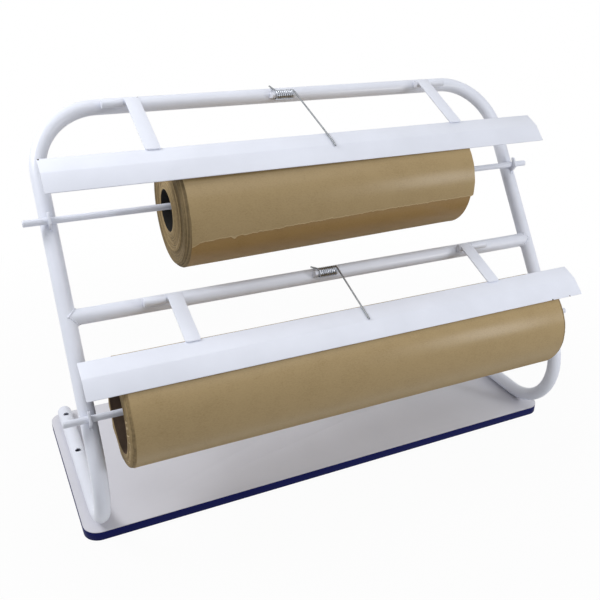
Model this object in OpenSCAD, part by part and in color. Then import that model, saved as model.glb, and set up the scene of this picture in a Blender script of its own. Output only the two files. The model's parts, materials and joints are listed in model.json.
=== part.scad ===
// Two-tier counter dispenser for rolls of wrapping paper.
// Millimetres. X runs along the rolls, Y runs to the back, Z runs up.
// The origin is the centre of the base board's underside.

/* [Part] */
// Piece to show, or "all"

/* [Board] */
// Width of the board, along the rolls
board_w = 700; // [680:5:900]
// Depth of the board, front to back
board_d = 280; // [260:5:360]
// Thickness of the board with its laminate
board_t = 13; // [12:0.5:30]
// Radius of the board's corners
board_corner_r = 20; // [8:1:60]
// Thickness of the laminate on top
laminate_t = 0.8; // [0.5:0.1:1.5]
// Thickness of the edge band
band_t = 1.2; // [0.8:0.1:3]

/* [Frame] */
// Outer diameter of the frame tube
tube_d = 19; // [16:0.5:25]
// Wall of the frame tube
tube_wall = 1.5; // [1:0.1:2.5]
// Distance of a leg's axis from the end of the board
leg_inset = 20; // [12:1:40]
// Lean of the legs to the back, from upright
lean = 35; // [25:1:40]
// Bend radius of the tube's centre line
bend_r = 80; // [50:1:100]
// Distance of the foot's bend behind the board's front edge
bend_setback = 48; // [20:1:80]
// Distance of the foot's rear end from the board's back edge
foot_end_gap = 6; // [5:1:40]
// Height of the middle rail above the lower spindle
mid_rail_rise = 88; // [76:1:120]
// Height of the top rail above the upper spindle
top_rail_rise = 105; // [90:1:140]

/* [Foot screws] */
// Distance of the rear screw from the foot's rear end
screw_back = 29; // [20:1:40]
// Distance between the two screws of a foot
screw_pitch = 94; // [40:1:110]
// Diameter of the screw's shank
screw_d = 3.5; // [3:0.1:5]
// Diameter of the screw's head
screw_head_d = 7; // [6:0.1:8]
// Height of the screw's head
screw_head_t = 2.2; // [1.5:0.1:3]
// Length of screw in the board
screw_len = 10; // [6:0.5:11]
// Diameter of the access hole above a screw
access_d = 7.8; // [7.5:0.1:10]
// Length of the foot cap's spigot inside the tube
spigot_len = 6; // [3:0.5:7]

/* [Spindles and hooks] */
// Diameter of the spindles
rod_d = 8; // [6:0.5:12]
// Length of spindle outside a leg's axis
rod_overhang = 26.5; // [12:0.5:50]
// Sideways place of the spindles' middle
rod_x = -2.5; // [-8:0.5:8]
// Height of the lower spindle above the front bends
lower_rod_rise = 34.5; // [28:0.5:60]
// Height of the upper spindle above the middle rail
upper_rod_rise = 100; // [92:1:130]
// Thickness of the hook plates
hook_t = 3; // [2:0.5:6]
// Width of the prong in front of the spindle
prong_w = 5; // [3:0.5:8]
// Height of the prong above the spindle
prong_rise = 4.5; // [2:0.5:10]
// Depth of the hook under the spindle
hook_drop = 6.5; // [6:0.5:16]
// Length of the taper that joins the hook to the leg
hook_taper = 6; // [4:1:24]

/* [Hinges] */
// Outer diameter of the hinge barrels
barrel_d = 10.5; // [9:0.5:14]
// Length of a fixed barrel
fixed_barrel_len = 26; // [15:1:40]
// Length of a moving barrel
knuckle_len = 20; // [18:1:40]
// Diameter of the hinge pin
pin_d = 6; // [4:0.5:7]
// Direction of the upper hinges from their rail, above the horizontal
upper_hinge_angle = 24; // [20:1:50]
// Direction of the lower hinges from their rail, above the horizontal
lower_hinge_angle = 38; // [20:1:50]
// Width of the weld under a fixed barrel
weld_w = 5; // [3:0.5:6]
// Distance of the hinges from the start of the top corners
hinge_room = 4.6; // [2:0.2:60]

/* [Tear bars] */
// Length of tear bar outside a leg's axis
bar_overhang = 6; // [0:1:20]
// Sheet thickness of the tear bars
bar_t = 1.5; // [1:0.1:2.5]
// Width of the upper face of a bar
top_flange = 23.5; // [14:0.5:30]
// Width of the lower face of a bar, down to the tear edge
tear_flange = 25; // [14:0.5:30]
// Bend between the two faces
bar_bend = 20; // [10:0.5:40]
// Width of an arm
arm_w = 18; // [12:0.5:18]
// Thickness of an arm
arm_t = 2; // [2:0.25:4]
// Gap between the upper arms and the roll, as a share of the bar's depth
upper_arm_share = 0.44; // [0.3:0.01:0.8]
// Gap between the lower arms and the roll, as a share of the bar's depth
lower_arm_share = 0.63; // [0.3:0.01:0.8]
// Length of an arm that lies on its bar
arm_lap = 2.5; // [2:0.5:12]
// Depth of an arm's seat in the moving barrel
arm_seat = 1.2; // [0.4:0.1:1.5]

/* [Springs] */
// Diameter of the spring wire
wire_d = 2; // [1.2:0.1:2.4]
// Diameter of the coil, at the middle of the wire
coil_d = 11; // [10:0.5:14]
// Length of the coil
coil_len = 25; // [22:1:40]
// Turns of the coil
coil_turns = 7; // [4:1:8]
// Place of the coil's middle along the rail
coil_x = -7; // [-60:1:60]
// Diameter of the post inside the coil
post_d = 7; // [4:0.5:7]
// Direction of the upper post from its rail, above the horizontal
upper_post_angle = 14; // [0:1:40]
// Direction of the lower post from its rail, above the horizontal
lower_post_angle = 35; // [0:1:40]
// Length of the spring's leg over the rail
rail_leg = 22; // [20:1:40]
// Sideways run of the leg that presses on the upper bar
upper_leg_drift = 8; // [-10:1:20]
// Sideways run of the leg that presses on the lower bar
lower_leg_drift = -4; // [-10:1:20]
// Length of the bent foot at the end of that leg
leg_foot = 7; // [4:0.5:12]

/* [Paper rolls] */
// Length of the upper roll, with its turns slipped sideways
upper_roll_len = 403; // [250:1:600]
// Diameter of the upper roll
upper_roll_d = 140; // [110:1:150]
// Diameter of the bore in the upper roll's core
upper_bore_d = 52; // [40:1:76]
// Sideways place of the upper roll's middle
upper_roll_x = 9; // [-30:1:30]
// Drop of the upper roll's left end, which hangs in a wide plug
upper_roll_sag = 5; // [0:0.5:8]
// Distance of the lower roll's ends from the legs' axes
lower_roll_room = 30; // [15:1:150]
// Diameter of the lower roll
lower_roll_d = 129; // [118:1:140]
// Diameter of the bore in the lower roll's core
lower_bore_d = 94; // [40:1:100]
// Chamfer at the worn ends of the lower roll
lower_roll_chamfer = 5; // [1:0.5:8]
// Wall of the card cores
core_wall = 4; // [2:0.5:6]
// Depth of the plugs inside the ends of the cores
plug_recess = 36; // [5:1:60]
// Length of a plug
plug_len = 24; // [12:1:40]
// Step at the torn end of the upper paper
flap_t = 0.8; // [0.4:0.1:1.5]
// Direction of the torn end, below the horizontal at the front
flap_angle = 15; // [0:1:60]
// Sideways slip of the outer turns at the upper roll's left end
slip_x = 7.5; // [3:0.5:15]
// Thickness of the turns that slipped
slip_w = 5; // [3:0.5:15]

/* [Clearances] */
// Gap at welded and pressed seats
seat_gap = 0.05; // [0.02:0.01:0.1]
// Gap round a turning shaft
turn_gap = 0.08; // [0.04:0.01:0.1]
// Gap between pieces that pass each other
part_gap = 0.4; // [0.3:0.05:0.8]

/* [Hidden] */
$fn = 72;

// Colours
paint = "#F3F3F1";
laminate = "#E9EAEC";
navy = "#1F2F57";
board_core = "#B89B74";
kraft = "#B58A5C";
card = "#8E6A45";
zinc = "#B9BBBD";
dark = "#2B2B2D";

// A length that makes a cut run clear through
past = 1;

// Tube and legs
tube_r = tube_d / 2;
inner_r = tube_r - tube_wall;
leg_x = board_w / 2 - leg_inset;
leg_spacing = 2 * leg_x;
foot_z = board_t + seat_gap + tube_r;
foot_back = board_d / 2 - foot_end_gap;
foot_bend_y = bend_setback - board_d / 2;
bend_centre = [foot_bend_y, foot_z + bend_r];
leg_start = bend_centre + bend_r * [-cos(lean), sin(lean)];
lower_rod_h = leg_start[1] + lower_rod_rise;
mid_rail_h = lower_rod_h + mid_rail_rise;
upper_rod_h = mid_rail_h + upper_rod_rise;
top_rail_h = upper_rod_h + top_rail_rise;
leg_len = (top_rail_h - leg_start[1]) / cos(lean);
function leg_y(h) = leg_start[0] + (h - leg_start[1]) * tan(lean);

// Rails, as points in the side view (Y, Z)
top_rail = [leg_y(top_rail_h), top_rail_h];
mid_rail_at = [leg_y(mid_rail_h), mid_rail_h];

// Spindles stand just off the front of the legs
rod_r = rod_d / 2;
rod_len = leg_spacing + 2 * rod_overhang;
rod_off = tube_r + part_gap + rod_r;
function rod_at(h) = [leg_y(h) - rod_off / cos(lean), h];
upper_rod = rod_at(upper_rod_h);
lower_rod = rod_at(lower_rod_h);

// Hinges
barrel_r = barrel_d / 2;
hinge_off = tube_r + part_gap + barrel_r;
function hinge_at(rail, angle) = rail + hinge_off * [-cos(angle), sin(angle)];
upper_hinge = hinge_at(top_rail, upper_hinge_angle);
lower_hinge = hinge_at(mid_rail_at, lower_hinge_angle);
fixed_barrel_x = leg_x - bend_r - hinge_room - fixed_barrel_len / 2;
arm_x = fixed_barrel_x - (fixed_barrel_len + knuckle_len) / 2 - part_gap;

// Tear bars, in the arm's own view: u runs along the arm, v runs out of it
bar_len = leg_spacing + 2 * bar_overhang;
arm_v = barrel_r - arm_seat;
bar_v = arm_v - seat_gap;
edge_drop = tear_flange * sin(bar_bend);
edge_run = tear_flange * cos(bar_bend);
mitre = bar_t * tan(bar_bend / 2);
bar_depth = edge_drop + bar_t * cos(bar_bend);
edge_u = top_flange + edge_run - bar_t * sin(bar_bend);

// The arms stand clear of the roll, and their length lets the tear edge meet it
function arm_gap(share) = part_gap + share * (bar_depth - part_gap);
function roll_u(hinge, rod, roll_d, share) =
    let (far = norm(hinge - rod))
    let (low = roll_d / 2 + arm_gap(share) - arm_v)
    sqrt(far * far - low * low);
function arm_len(hinge, rod, roll_d, share) =
    let (touch = roll_d / 2 + part_gap)
    let (low = roll_d / 2 + arm_gap(share) - seat_gap - bar_depth)
    roll_u(hinge, rod, roll_d, share) - edge_u + sqrt(touch * touch - low * low);

// Tilt of an arm below the horizontal at rest
function rest_tilt(hinge, rod, roll_d, share) =
    let (low = roll_d / 2 + arm_gap(share) - arm_v)
    atan2(hinge[1] - rod[1], hinge[0] - rod[0]) - atan2(low, roll_u(hinge, rod, roll_d, share));
upper_arm_len = arm_len(upper_hinge, upper_rod, upper_roll_d, upper_arm_share);
lower_arm_len = arm_len(lower_hinge, lower_rod, lower_roll_d, lower_arm_share);
upper_tilt = rest_tilt(upper_hinge, upper_rod, upper_roll_d, upper_arm_share);
lower_tilt = rest_tilt(lower_hinge, lower_rod, lower_roll_d, lower_arm_share);

// Springs
wire_r = wire_d / 2;
coil_r = coil_d / 2;
post_off = tube_r + part_gap + coil_r + wire_r;
post_end = coil_len / 2 + wire_r + part_gap;
lug_w = 2 * wire_d;
function post_at(rail, angle) = rail + post_off * [-cos(angle), sin(angle)];
function arm_point(hinge, tilt, u, v) =
    hinge + [-u * cos(tilt) - v * sin(tilt), v * cos(tilt) - u * sin(tilt)];

// Rings in a curl of the spring, and sides of its wire
curl_rings = 8;
wire_sides = 6;

// Middle line of a spring, from the end over the rail to the foot on the bar
function spring_line(rail, post_angle, hinge, tilt, len, drift) =
    let (c = post_at(rail, post_angle))
    let (lift = bar_v + wire_r + part_gap)
    let (over = arm_point(hinge, tilt, len, lift))
    let (rest = arm_point(hinge, tilt, len + top_flange - wire_r, lift))
    let (lead = over - c)
    let (out_a = atan2(lead[1], lead[0]) - acos(coil_r / norm(lead)))
    let (back_a = acos((coil_r - tube_r - wire_r - part_gap) / post_off) - post_angle)
    let (out = c + coil_r * [cos(out_a), sin(out_a)])
    let (back = c + coil_r * [cos(back_a), sin(back_a)])
    let (knee = over + (top_flange - leg_foot) * unit(over - out))
    let (tip = back + rail_leg * [sin(back_a), -cos(back_a)])
    let (turn = 360 * coil_turns + (out_a - back_a + 900) % 360 - 180)
    let (rings = coil_turns * curl_rings)
    let (x0 = coil_x - coil_len / 2)
    let (x1 = coil_x + coil_len / 2)
    concat(
        [[x0, tip[0], tip[1]]],
        [for (i = [0 : rings])
            let (a = back_a + turn * i / rings)
            [x0 + coil_len * i / rings, c[0] + coil_r * cos(a), c[1] + coil_r * sin(a)]],
        [[x1 + drift, knee[0], knee[1]]],
        [[x1 + drift, rest[0], rest[1]]]);
function unit(v) = v / norm(v);

// Least gap of a spring to itself, between points at least half a curl apart
function own_gap(line) = min([for (i = [0 : len(line) - 1])
    for (j = [i + curl_rings / 2 : 1 : len(line) - 1]) norm(line[i] - line[j])]) - wire_d;

upper_line = spring_line(top_rail, upper_post_angle, upper_hinge, upper_tilt, upper_arm_len,
    upper_leg_drift);
lower_line = spring_line(mid_rail_at, lower_post_angle, lower_hinge, lower_tilt, lower_arm_len,
    lower_leg_drift);
echo(upper_spring_least_gap = own_gap(upper_line), lower_spring_least_gap = own_gap(lower_line));

// Foot screws and caps
foot_tube_back = foot_back - tube_r - seat_gap;
screw_y = foot_back - screw_back;
screw_head_r = screw_head_d / 2;
screw_head_z = foot_z - sqrt(inner_r * inner_r - screw_head_r * screw_head_r) + seat_gap;
screw_tip_z = board_t - screw_len;
cross_l = 0.6 * screw_head_d;
cross_w = 0.9;

// Flats round the outer turn of the upper paper, and steps of its slipped end
paper_sides = 72;
slip_steps = 3;

// The upper roll's right end stays level with its spindle
upper_roll_tilt = asin(upper_roll_sag / upper_roll_len);
upper_roll_mid = [upper_roll_x, upper_rod[0], upper_rod[1] - upper_roll_sag / 2];

// Drop of each plug's farther edge below the spindle
upper_left_drop = upper_roll_sag * (1 - plug_recess / upper_roll_len);
upper_right_drop = upper_roll_sag * (plug_recess + plug_len) / upper_roll_len;

// The lower roll fills most of the room between the legs
lower_roll_len = leg_spacing - 2 * lower_roll_room;
lower_roll_mid = [0, lower_rod[0], lower_rod[1]];

// Small rounded edges
rod_chamfer = rod_d / 10;
plug_chamfer = plug_len / 24;
arm_corner_r = 0.15 * arm_w;

// Length of an arm behind the middle of its barrel
arm_tail = 0.1 * barrel_r;

// Round bar along X, centred
module bar_x(d, l) {
    rotate([0, 90, 0]) cylinder(d = d, h = l, center = true);
}

// Round bar along X with chamfered ends, centred
module chamfered_bar_x(d, l, c) {
    bar_x(d, l - 2 * c);
    for (s = [-1, 1]) translate([s * (l / 2 - c / 2), 0, 0]) rotate([0, s * 90, 0])
        cylinder(d1 = d, d2 = d - 2 * c, h = c, center = true);
}

// Puts a side view, drawn as Y and Z, in its plane at a place along X
module side(x) {
    translate([x, 0, 0]) rotate([90, 0, 90]) children();
}

// Moves a piece to a point of the side view
module at_yz(p) {
    translate([0, p[0], p[1]]) children();
}

// Frame of the legs: Z runs up the leg, -Y runs out of its front
module leg_frame() {
    at_yz(leg_start) rotate([-lean, 0, 0]) children();
}

// Frame of an arm: -Y runs along it to the bar, Z runs out of its upper face
module arm_frame(hinge, tilt) {
    at_yz(hinge) rotate([tilt, 0, 0]) children();
}

// Plate with round corners
module plate(w, d, r, t) {
    translate([0, 0, t / 2]) cube([w - 2 * r, d, t], center = true);
    translate([0, 0, t / 2]) cube([w, d - 2 * r, t], center = true);
    for (x = [-1, 1], y = [-1, 1]) translate([x * (w / 2 - r), y * (d / 2 - r), 0])
        cylinder(r = r, h = t);
}

// Places of the four foot screws
module at_screws() {
    for (x = [-leg_x, leg_x], y = [screw_y, screw_y - screw_pitch]) translate([x, y, 0]) children();
}

// Holes of the screws in the board
module pilot_holes() {
    at_screws() translate([0, 0, screw_tip_z - part_gap])
        cylinder(d = screw_d + 2 * seat_gap, h = screw_len + part_gap + past);
}

module base_board() {
    inset = band_t + seat_gap;
    color(board_core) difference() {
        plate(board_w - 2 * inset, board_d - 2 * inset, board_corner_r - inset, board_t - laminate_t);
        pilot_holes();
    }
}

module top_laminate() {
    color(laminate) difference() {
        translate([0, 0, board_t - laminate_t]) plate(board_w, board_d, board_corner_r, laminate_t);
        pilot_holes();
    }
}

module edge_band() {
    color(navy) difference() {
        plate(board_w, board_d, board_corner_r, board_t - laminate_t);
        translate([0, 0, -past])
            plate(board_w - 2 * band_t, board_d - 2 * band_t, board_corner_r - band_t, board_t + past);
    }
}

// A straight length of tube, up from its origin
module tube(l) {
    difference() {
        cylinder(r = tube_r, h = l);
        translate([0, 0, -past]) cylinder(r = inner_r, h = l + 2 * past);
    }
}

// A bend of the tube round its origin
module tube_bend(a) {
    rotate_extrude(angle = a) translate([bend_r, 0]) difference() {
        circle(r = tube_r);
        circle(r = inner_r);
    }
}

// One bent tube: feet, front bends, legs, top corners and top rail
module frame_tube() {
    color(paint) difference() {
        union() {
            for (s = [-1, 1]) {
                translate([s * leg_x, foot_bend_y, foot_z]) rotate([-90, 0, 0])
                    tube(foot_tube_back - foot_bend_y);
                side(s * leg_x) translate(bend_centre) rotate([0, 0, 180 - lean]) tube_bend(90 + lean);
                leg_frame() translate([s * leg_x, 0, 0]) tube(leg_len - bend_r);
                mirror([s < 0 ? 1 : 0, 0, 0]) leg_frame()
                    translate([leg_x - bend_r, 0, leg_len - bend_r]) rotate([90, 0, 0]) tube_bend(90);
            }
            leg_frame() translate([bend_r - leg_x, 0, leg_len]) rotate([0, 90, 0])
                tube(leg_spacing - 2 * bend_r);
        }
        at_screws() translate([0, 0, foot_z]) cylinder(d = access_d, h = tube_d);
        at_screws() translate([0, 0, foot_z - tube_d]) cylinder(d = screw_d + 2 * part_gap, h = tube_d);
    }
}

// The two legs as solid rods, to cut what is welded on them
module leg_cut() {
    leg_frame() for (s = [-1, 1]) translate([s * leg_x, 0, 0])
        cylinder(r = tube_r + seat_gap, h = leg_len);
}

// A rail as a solid rod, to cut what is welded on it
module rail_cut(rail) {
    at_yz(rail) bar_x(tube_d + 2 * seat_gap, leg_spacing);
}

module mid_rail() {
    color(paint) difference() {
        at_yz(mid_rail_at) bar_x(tube_d, leg_spacing);
        at_yz(mid_rail_at) bar_x(2 * inner_r, leg_spacing + past);
        leg_cut();
    }
}

// Domed cap with a spigot in the end of a foot
module foot_cap(s) {
    color(paint) translate([s * leg_x, foot_tube_back, foot_z]) rotate([-90, 0, 0]) {
        translate([0, 0, seat_gap]) intersection() {
            sphere(r = tube_r);
            translate([0, 0, tube_r]) cube(2 * tube_r, center = true);
        }
        translate([0, 0, -spigot_len]) cylinder(r = inner_r - seat_gap, h = spigot_len + tube_r / 2);
    }
}

module foot_screws() {
    color(zinc) at_screws() difference() {
        union() {
            translate([0, 0, screw_tip_z]) cylinder(d = screw_d, h = screw_head_z - screw_tip_z + past);
            translate([0, 0, screw_head_z]) cylinder(d = screw_head_d, h = screw_head_t);
        }
        for (a = [0, 90]) translate([0, 0, screw_head_z + screw_head_t]) rotate([0, 0, a])
            cube([cross_l, cross_w, screw_head_t], center = true);
    }
}

// Hook plate on the front of a leg: the spindle drops into it from above
module hook(s, rod_h) {
    along = (rod_h - leg_start[1] - rod_off * sin(lean)) / cos(lean);
    seat_r = rod_r + turn_gap;
    inner = rod_off + seat_r;
    front = inner + prong_w;
    tip = rod_r + prong_rise - prong_w / 2;
    color(paint) difference() {
        leg_frame() translate([0, 0, along]) {
            side(s * leg_x) linear_extrude(hook_t, center = true) polygon([
                [0, -hook_drop - hook_taper], [0, 0], [-inner, 0], [-inner, tip], [-front, tip],
                [-front, -hook_drop]]);
            translate([s * leg_x, -inner - prong_w / 2, tip]) bar_x(prong_w, hook_t);
        }
        leg_frame() translate([s * leg_x, -rod_off, along]) {
            bar_x(2 * seat_r, hook_t + past);
            translate([0, rod_off / 2, rod_off / 2 - 0.6 * rod_r])
                cube([hook_t + past, rod_off, rod_off], center = true);
        }
        leg_cut();
    }
}

// Fixed half of a hinge: barrel, pin and weld to the rail
module hinge(s, rail, angle) {
    pin_len = knuckle_len + part_gap + past;
    color(paint) difference() {
        at_yz(hinge_at(rail, angle)) translate([s * fixed_barrel_x, 0, 0]) {
            bar_x(barrel_d, fixed_barrel_len);
            translate([-s * (fixed_barrel_len + pin_len - 2 * past) / 2, 0, 0]) bar_x(pin_d, pin_len);
            rotate([90 - angle, 0, 0]) translate([0, 0, -hinge_off / 2])
                cube([fixed_barrel_len - weld_w, weld_w, hinge_off], center = true);
        }
        rail_cut(rail);
    }
}

// Moving half of a hinge
module knuckle(s, at) {
    color(paint) at_yz(at) translate([s * arm_x, 0, 0]) difference() {
        bar_x(barrel_d, knuckle_len);
        bar_x(pin_d + 2 * turn_gap, knuckle_len + past);
    }
}

// Flat arm from a moving barrel to its bar
module arm(s, at, tilt, len) {
    end = len + arm_lap;
    straight = end - arm_corner_r + arm_tail;
    color(paint) arm_frame(at, tilt) translate([s * arm_x, 0, 0]) difference() {
        translate([0, 0, arm_v + arm_t / 2]) {
            translate([0, arm_tail - straight / 2, 0]) cube([arm_w, straight, arm_t], center = true);
            translate([0, arm_tail - (straight + arm_corner_r) / 2, 0])
                cube([arm_w - 2 * arm_corner_r, straight + arm_corner_r, arm_t], center = true);
            for (x = [-1, 1]) translate([x * (arm_w / 2 - arm_corner_r), arm_corner_r - end, 0])
                cylinder(r = arm_corner_r, h = arm_t, center = true);
        }
        bar_x(barrel_d + 2 * seat_gap, arm_w + past);
    }
}

// Folded sheet that lies on the roll and tears the paper
module tear_bar(at, tilt, len) {
    fold = len + top_flange;
    color(paint) arm_frame(at, tilt) side(0) linear_extrude(bar_len, center = true) polygon([
        [-len, bar_v], [-len, bar_v - bar_t], [mitre - fold, bar_v - bar_t],
        [-len - edge_u, bar_v - bar_depth],
        [-fold - edge_run, bar_v - edge_drop], [-fold, bar_v]]);
}

// Post that carries a spring, with a lug to the rail at each end
module spring_post(rail, angle) {
    color(paint) difference() {
        at_yz(post_at(rail, angle)) translate([coil_x, 0, 0]) {
            bar_x(post_d, 2 * (post_end + lug_w));
            for (s = [-1, 1]) translate([s * (post_end + lug_w / 2), 0, 0])
                rotate([90 - angle, 0, 0]) translate([0, 0, -post_off / 2])
                cube([lug_w, post_d - past, post_off], center = true);
        }
        rail_cut(rail);
    }
}

// Round wire along a line of points, as one closed tube
module wire(line) {
    n = len(line);
    k = wire_sides;
    function way(i) = unit(
        (i > 0 ? unit(line[i] - line[i - 1]) : [0, 0, 0])
        + (i < n - 1 ? unit(line[i + 1] - line[i]) : [0, 0, 0]));
    rings = [for (i = [0 : n - 1])
        let (t = way(i))
        let (u = unit([1, 0, 0] - t[0] * t))
        let (v = cross(t, u))
        for (j = [0 : k - 1])
            line[i] + wire_r * (cos(360 * j / k) * u + sin(360 * j / k) * v)];
    last = (n - 1) * k;
    skin = [for (i = [0 : n - 2]) for (j = [0 : k - 1])
        let (a = i * k + j)
        let (b = i * k + (j + 1) % k)
        for (f = [[a, a + k, b], [b, a + k, b + k]]) f];
    ends = [for (j = [1 : k - 2]) for (f = [[0, j, j + 1], [last, last + j + 1, last + j]]) f];
    polyhedron(points = rings, faces = concat(skin, ends));
}

// Frame of a roll: its middle, and its axis along X
module roll_frame(mid, tilt) {
    translate(mid) rotate([0, -tilt, 0]) children();
}

// Plug in the end of a core, whose hole hangs the roll on its spindle
module plug(s, roll_len, bore_d, drop) {
    color(dark) translate([s * (roll_len / 2 - plug_recess - plug_len / 2), 0, 0]) difference() {
        chamfered_bar_x(bore_d - 2 * seat_gap, plug_len, plug_chamfer);
        bar_x(rod_d + 2 * (turn_gap + drop), plug_len + past);
    }
}

module core(roll_len, bore_d) {
    color(card) difference() {
        bar_x(bore_d + 2 * core_wall, roll_len);
        bar_x(bore_d, roll_len + past);
    }
}

module core_hole(roll_len, bore_d) {
    bar_x(bore_d + 2 * (core_wall + seat_gap), roll_len + past);
}

module frame_spindle(rod) {
    color(paint) at_yz(rod) translate([rod_x, 0, 0]) chamfered_bar_x(rod_d, rod_len, rod_chamfer);
}

module upper_left_hook() hook(-1, upper_rod_h);
module upper_right_hook() hook(1, upper_rod_h);
module lower_left_hook() hook(-1, lower_rod_h);
module lower_right_hook() hook(1, lower_rod_h);
module left_foot_cap() foot_cap(-1);
module right_foot_cap() foot_cap(1);
module upper_left_hinge() hinge(-1, top_rail, upper_hinge_angle);
module upper_right_hinge() hinge(1, top_rail, upper_hinge_angle);
module lower_left_hinge() hinge(-1, mid_rail_at, lower_hinge_angle);
module lower_right_hinge() hinge(1, mid_rail_at, lower_hinge_angle);
module upper_left_knuckle() knuckle(-1, upper_hinge);
module upper_right_knuckle() knuckle(1, upper_hinge);
module lower_left_knuckle() knuckle(-1, lower_hinge);
module lower_right_knuckle() knuckle(1, lower_hinge);
module upper_left_arm() arm(-1, upper_hinge, upper_tilt, upper_arm_len);
module upper_right_arm() arm(1, upper_hinge, upper_tilt, upper_arm_len);
module lower_left_arm() arm(-1, lower_hinge, lower_tilt, lower_arm_len);
module lower_right_arm() arm(1, lower_hinge, lower_tilt, lower_arm_len);
module upper_tear_bar() tear_bar(upper_hinge, upper_tilt, upper_arm_len);
module lower_tear_bar() tear_bar(lower_hinge, lower_tilt, lower_arm_len);
module upper_spring_post() spring_post(top_rail, upper_post_angle);
module lower_spring_post() spring_post(mid_rail_at, lower_post_angle);
module upper_spring() color(zinc) wire(upper_line);
module lower_spring() color(zinc) wire(lower_line);
module upper_spindle() frame_spindle(upper_rod);
module lower_spindle() frame_spindle(lower_rod);
module in_upper_roll() roll_frame(upper_roll_mid, upper_roll_tilt) children();
module in_lower_roll() roll_frame(lower_roll_mid, 0) children();
module upper_left_plug() in_upper_roll() plug(-1, upper_roll_len, upper_bore_d, upper_left_drop);
module upper_right_plug() in_upper_roll() plug(1, upper_roll_len, upper_bore_d, upper_right_drop);
module lower_left_plug() in_lower_roll() plug(-1, lower_roll_len, lower_bore_d, 0);
module lower_right_plug() in_lower_roll() plug(1, lower_roll_len, lower_bore_d, 0);
module upper_core() in_upper_roll() core(upper_roll_len, upper_bore_d);
module lower_core() in_lower_roll() core(lower_roll_len, lower_bore_d);

// Paper whose outer turn winds in from its torn end, low on the front
module upper_paper() {
    turn = [for (i = [0 : paper_sides])
        let (a = 180 + flap_angle - 360 * i / paper_sides)
        (upper_roll_d / 2 - flap_t * i / paper_sides) * [cos(a), sin(a)]];
    color(kraft) in_upper_roll() difference() {
        side(0) linear_extrude(upper_roll_len, center = true) polygon(turn);
        for (i = [1 : slip_steps])
            translate([slip_x * (slip_steps + 1 - i) / slip_steps - upper_roll_len, 0, 0]) difference() {
                bar_x(2 * upper_roll_d, upper_roll_len);
                bar_x(upper_roll_d - 2 * slip_w * i / slip_steps, upper_roll_len + past);
            }
        core_hole(upper_roll_len, upper_bore_d);
    }
}

module lower_paper() {
    color(kraft) in_lower_roll() difference() {
        chamfered_bar_x(lower_roll_d, lower_roll_len, lower_roll_chamfer);
        core_hole(lower_roll_len, lower_bore_d);
    }
}

base_board();
top_laminate();
edge_band();
frame_tube();
mid_rail();
left_foot_cap();
right_foot_cap();
foot_screws();
upper_left_hook();
upper_right_hook();
lower_left_hook();
lower_right_hook();
upper_left_hinge();
upper_right_hinge();
lower_left_hinge();
lower_right_hinge();
upper_left_knuckle();
upper_right_knuckle();
lower_left_knuckle();
lower_right_knuckle();
upper_left_arm();
upper_right_arm();
lower_left_arm();
lower_right_arm();
upper_tear_bar();
lower_tear_bar();
upper_spring_post();
lower_spring_post();
upper_spring();
lower_spring();
upper_spindle();
lower_spindle();
upper_left_plug();
upper_right_plug();
lower_left_plug();
lower_right_plug();
upper_core();
lower_core();
upper_paper();
lower_paper();
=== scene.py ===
import json
import math
import random
from typing import NamedTuple

import bmesh
import bpy
from bpy.props import FloatProperty, FloatVectorProperty, IntProperty, PointerProperty
from bpy.types import Operator, Panel, PropertyGroup
from mathutils import Matrix, Vector, noise


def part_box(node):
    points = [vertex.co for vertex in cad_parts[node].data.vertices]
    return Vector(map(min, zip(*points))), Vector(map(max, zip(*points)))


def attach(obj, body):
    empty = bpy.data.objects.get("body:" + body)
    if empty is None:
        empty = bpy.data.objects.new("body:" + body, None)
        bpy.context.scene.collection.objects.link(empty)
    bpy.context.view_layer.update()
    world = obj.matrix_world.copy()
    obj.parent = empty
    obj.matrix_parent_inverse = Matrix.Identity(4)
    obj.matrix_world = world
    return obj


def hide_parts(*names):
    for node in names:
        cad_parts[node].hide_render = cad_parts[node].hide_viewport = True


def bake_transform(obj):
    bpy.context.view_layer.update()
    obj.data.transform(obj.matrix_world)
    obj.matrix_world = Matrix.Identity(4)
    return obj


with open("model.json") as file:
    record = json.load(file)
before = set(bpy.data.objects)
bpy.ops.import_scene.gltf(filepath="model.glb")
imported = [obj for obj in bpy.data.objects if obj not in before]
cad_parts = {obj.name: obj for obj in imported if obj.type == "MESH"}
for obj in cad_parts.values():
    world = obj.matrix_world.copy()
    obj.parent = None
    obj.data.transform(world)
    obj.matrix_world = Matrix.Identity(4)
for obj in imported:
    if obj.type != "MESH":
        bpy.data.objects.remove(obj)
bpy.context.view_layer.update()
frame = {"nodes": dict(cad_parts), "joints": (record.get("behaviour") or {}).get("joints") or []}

bl_info = {
    "name": "Paper roll stand",
    "version": (1, 0, 0),
    "blender": (4, 5, 0),
    "location": "View3D > Sidebar > Paper stand",
    "description": "Finishes, paper rolls, springs and stage of a two-tier paper roll stand",
    "category": "Object",
}

MM = 0.001
SIDES = ("left", "right")
AXIS = {j["child"]: Vector(j["pos_m"]) for j in frame["joints"]}  # a point on each moving body's axis
ROLL = {j["child"].split("_")[0]: Matrix.Translation(j["pos_m"])
        @ Vector((1, 0, 0)).rotation_difference(Vector(j["axis"])).to_matrix().to_4x4()
        for j in frame["joints"] if j["child"].endswith("_roll")}


class Tier(NamedTuple):
    """Measures of one tier, from the part's source. Directions are above the front horizontal, in degrees."""
    tilt: float       # of the arms, below the horizontal
    arm_len: float    # from the hinge to the bar
    hinge_dir: float  # from the rail to the hinge
    post_dir: float   # from the rail to the spring post
    leg_drift: float  # sideways run of the spring's leg
    leg_past: float   # run of that leg past the bar's fold
    bore_r: float     # of the paper, round its core
    core_r: float     # inside the core
    roll_half: float  # half of the roll's length


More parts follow.
